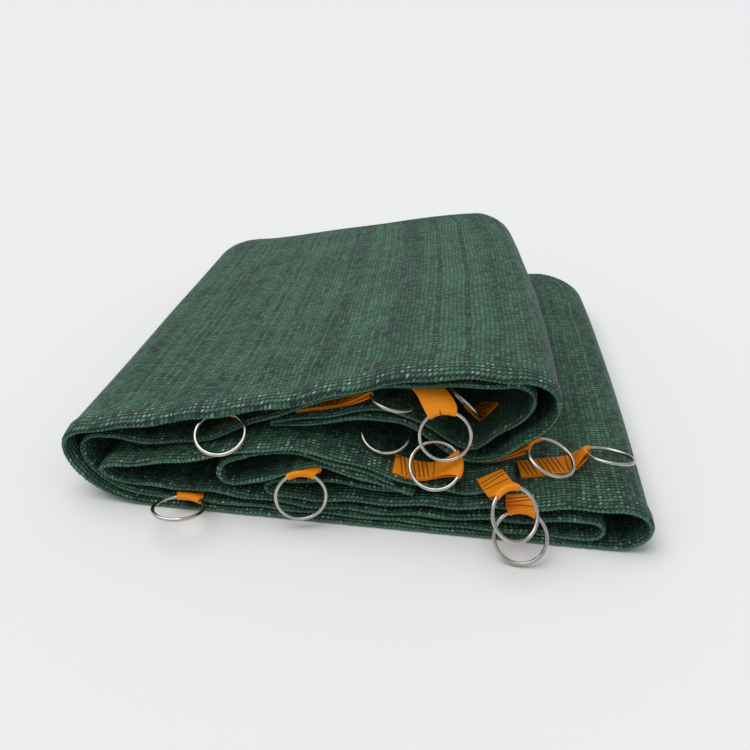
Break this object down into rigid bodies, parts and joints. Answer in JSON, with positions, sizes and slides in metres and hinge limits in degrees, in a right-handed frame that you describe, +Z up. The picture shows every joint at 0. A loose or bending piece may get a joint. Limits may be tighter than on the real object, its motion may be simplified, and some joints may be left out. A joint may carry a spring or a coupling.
{
  "type": "folded shade cloth",
  "caption": "Knitted shade cloth folded back and forth into a loose bundle, with round metal hanging rings on webbing tabs along one edge.",
  "frame": {"origin": "middle of the bundle's outline, on the surface it lies on", "axes": "+Z up, +Y from the edge with the rings to the closed back, +X to the right seen from the rings"},
  "size_m": [0.399, 0.421, 0.105],
  "materials": {
    "green_net": "knitted shade net, dull with small bright flecks",
    "ring_steel": "bright steel wire, welded",
    "orange_webbing": "woven webbing"
  },
  "bodies": {
    "root": {"cloth": "green_net", "ring_01": "ring_steel", "ring_02": "ring_steel", "ring_03": "ring_steel", "ring_04": "ring_steel", "ring_05": "ring_steel", "ring_06": "ring_steel", "ring_07": "ring_steel", "ring_08": "ring_steel", "ring_09": "ring_steel", "ring_10": "ring_steel", "ring_11": "ring_steel", "ring_12": "ring_steel", "tab_01": "orange_webbing", "tab_02": "orange_webbing", "tab_03": "orange_webbing", "tab_04": "orange_webbing", "tab_05": "orange_webbing", "tab_06": "orange_webbing", "tab_07": "orange_webbing", "tab_08": "orange_webbing", "tab_09": "orange_webbing", "tab_10": "orange_webbing", "tab_11": "orange_webbing", "tab_12": "orange_webbing"}
  },
  "joints": []
}
